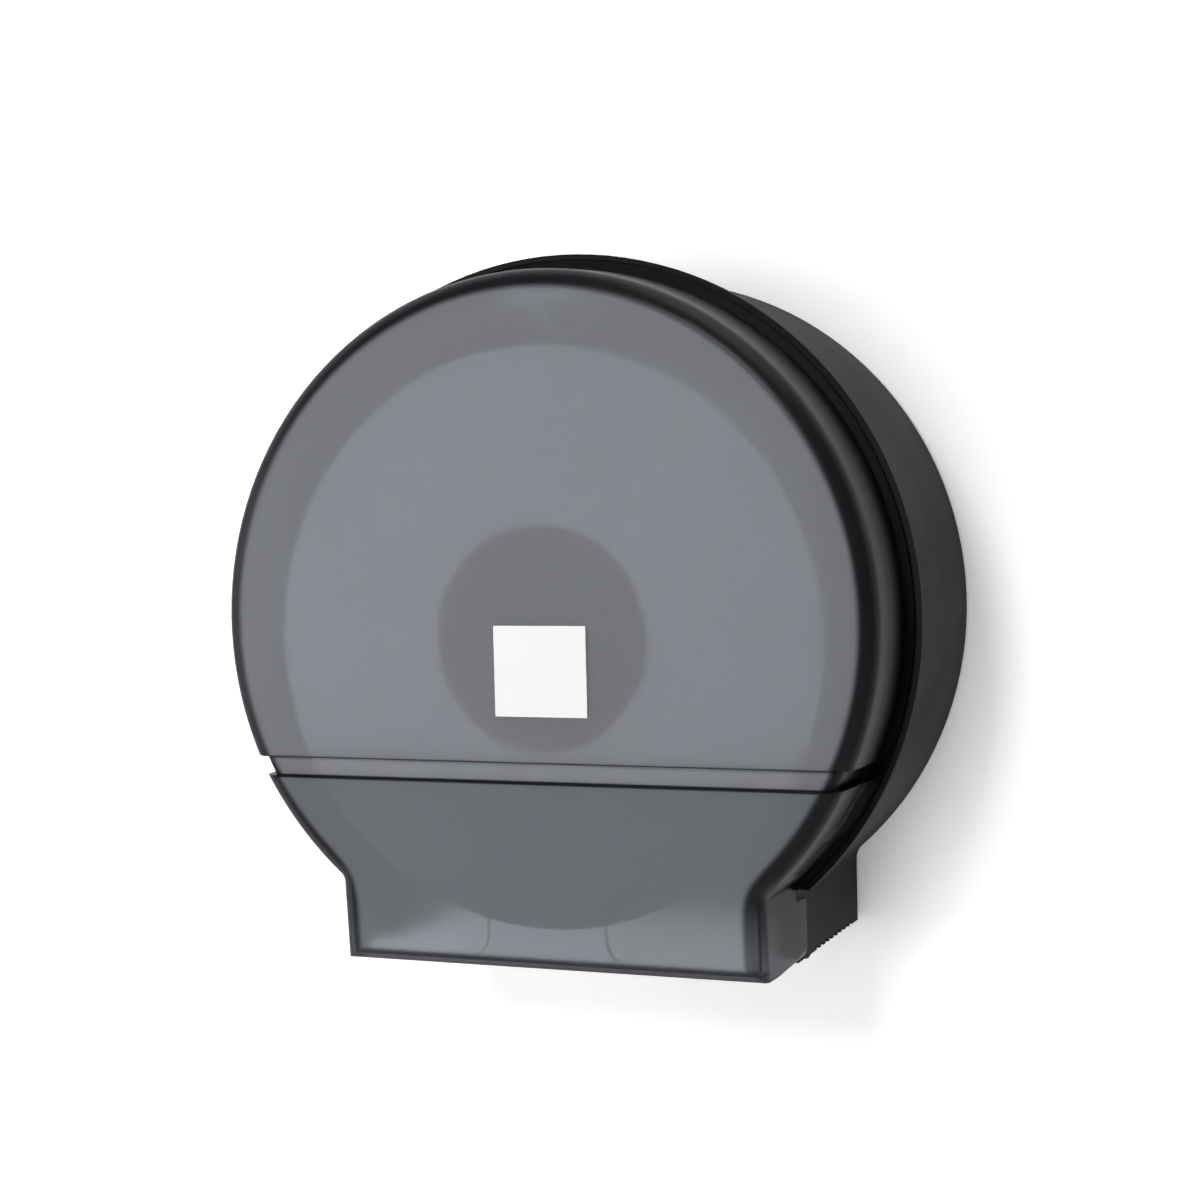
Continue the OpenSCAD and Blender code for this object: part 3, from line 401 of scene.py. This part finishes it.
inside = add_node(tree, "ShaderNodeMath", {"operation": "MINIMUM"},
                  {0: inside.outputs[0], 1: above_lip.outputs[0]})

# The frosting fades out over 3 mm at the rim, where a trace of it stays, and within
# 1 mm of the groove's two edges.
forward = add_node(tree, "ShaderNodeMath", {"operation": "LESS_THAN"}, {0: y, 1: FROST_Y})
off_rim = add_node(tree, "ShaderNodeMapRange", {"interpolation_type": "SMOOTHSTEP"},
                   {"Value": inside.outputs[0], "From Min": -0.0018, "From Max": 0.0012, "To Min": 0.055})
frosting = add_node(tree, "ShaderNodeMath", {"operation": "MULTIPLY"},
                    {0: forward.outputs[0], 1: off_rim.outputs["Result"]})
for edge_z, bare, full in ((GROOVE_FOOT_Z, 0.0002, 0.0009), (GROOVE_HEAD_Z, 0.0001, 0.0007)):
    off_edge = add_node(tree, "ShaderNodeMath", {"operation": "SUBTRACT"}, {0: z, 1: edge_z})
    off_edge = add_node(tree, "ShaderNodeMath", {"operation": "ABSOLUTE"}, {0: off_edge.outputs[0]})
    off_edge = add_node(tree, "ShaderNodeMapRange", {"interpolation_type": "SMOOTHSTEP"},
                        {"Value": off_edge.outputs[0], "From Min": bare, "From Max": full})
    frosting = add_node(tree, "ShaderNodeMath", {"operation": "MULTIPLY"},
                        {0: frosting.outputs[0], 1: off_edge.outputs["Result"]})

# Painted light and shade: the haze is painted paler on the groove's floor, against the shade of its walls,
# and darker below the groove, where it also lets less through.
below = add_node(tree, "ShaderNodeMath", {"operation": "LESS_THAN"}, {0: z, 1: GROOVE_FOOT_Z})
tint = add_node(tree, "ShaderNodeMix", {"data_type": "RGBA"},
                {"Factor": below.outputs[0], "A": linear("#bdc0c7"), "B": linear("#9b9fa6")})
groove_middle_z = (GROOVE_HEAD_Z + GROOVE_FOOT_Z) / 2
groove_half = 0.0039
painted_light_in_groove = add_node(tree, "ShaderNodeMath", {"operation": "COMPARE"},
                     {0: z, 1: groove_middle_z, 2: groove_half})
tint = add_node(tree, "ShaderNodeMix", {"data_type": "RGBA"},
                {"Factor": painted_light_in_groove.outputs[0], "A": tint.outputs["Result"], "B": linear("#cbced3")})
tree.links.new(tint.outputs["Result"], frosted.inputs["Base Color"])
veil = add_node(tree, "ShaderNodeMapRange", None,
                {"Value": below.outputs[0], "To Min": 0.73, "To Max": 0.65})
tree.links.new(veil.outputs["Result"], frosted.inputs["Transmission Weight"])

# Painted light: the clear smoke is painted paler towards the foot of the neck, where light from below
# brightens it.
painted_light_low_down = add_node(tree, "ShaderNodeMapRange", None, {"Value": z, "From Min": -0.100, "From Max": -0.132})
smoke_tint = add_node(tree, "ShaderNodeMix", {"data_type": "RGBA"},
                      {"Factor": painted_light_low_down.outputs[0], "A": linear("#2c2d33"), "B": linear("#585a61")})
tree.links.new(smoke_tint.outputs["Result"], clear.inputs["Base Color"])
both = add_node(tree, "ShaderNodeMixShader", None,
                {0: frosting.outputs[0], 1: clear.outputs[0], 2: frosted.outputs[0]})
tree.links.new(both.outputs[0], tree.nodes["Material Output"].inputs["Surface"])

# The panel below the groove leans back towards the wall, by 8.5 mm in 100, and takes
# the rounded edges with it. The sides make up the difference, and the lip sinks a little.
panel_lean = Vector((0, 0.085, -0.02))
side_rear_y = -0.0982
side_front_y = -0.1272
bm = bmesh.new()
bm.from_mesh(nodes["front_cover"].data)
bmesh.ops.remove_doubles(bm, verts=bm.verts, dist=1e-6)
bmesh.ops.dissolve_limit(bm, angle_limit=math.radians(0.2), verts=bm.verts, edges=bm.edges)
bmesh.ops.bisect_plane(bm, geom=bm.verts[:] + bm.edges[:] + bm.faces[:], dist=1e-7,
                       plane_co=(0, 0, GROOVE_FOOT_Z), plane_no=(0, 0, 1))
for vert in bm.verts:
    if vert.co.z < GROOVE_FOOT_Z and vert.co.y < side_rear_y:
        share = min(1, (vert.co.y - side_rear_y) / (side_front_y - side_rear_y))
        drop = share * (GROOVE_FOOT_Z - vert.co.z)
        vert.co += panel_lean * drop
cover = make_piece("smoke_cover", bm, smoke)
level_faces = cover.modifiers.new("level_faces", "WEIGHTED_NORMAL")
level_faces.keep_sharp = True
level_faces.weight = 100
belongs(cover, "cover", "smoke_cover", "front_cover")


# ---------------------------------------------------------------------------
# Label: a plain white plate, stuck flat on the cover's front a little above the
# groove, with nothing on it.
# ---------------------------------------------------------------------------
# White vinyl: bright and smooth, with a soft gloss that the frosting lacks.
label_vinyl, tree, surface, place = new_finish(
    "white_printed_vinyl", Base_Color=linear("#fbfbfb"), Roughness=0.35, IOR=1.46)
uneven(tree, surface, place, 6, 0.3, 0.4)
dress(label_vinyl, "label_plate")


# ---------------------------------------------------------------------------
# Lock: a bright cam lock in a pale die-cast carrier under the top of the cover,
# with a plated steel cam, and a strike screwed to the housing.
# ---------------------------------------------------------------------------
# Enamelled zinc casting: pale grey and dull, with a fine cast grain.
die_cast, tree, surface, place = new_finish(
    "pale_grey_enamelled_zinc_casting", Base_Color=linear("#c3c6ca"), Roughness=0.5, IOR=1.5)
grained(tree, surface, place, 1.5, 0.04)
dress(die_cast, "lock_carrier")

# Chrome on brass: a bright mirror that is slightly worn, so its gloss wanders.
bright_chrome, tree, surface, place = new_finish(
    "polished_chrome_on_brass", Base_Color=linear("#d5d7d9"), Metallic=1.0, Roughness=0.14)
uneven(tree, surface, place, 5, 0.1, 0.2)
dress(bright_chrome, "lock_barrel", "lock_plug")

# Zinc-plated sheet: duller and greyer than the plated shafts and screws.
plated_sheet, tree, surface, place = new_finish(
    "zinc_plated_sheet_steel", Base_Color=linear("#b9bbbe"), Metallic=1.0, Roughness=0.38)
uneven(tree, surface, place, 4, 0.3, 0.46)
dress(plated_sheet, "latch_strike", "lock_cam")
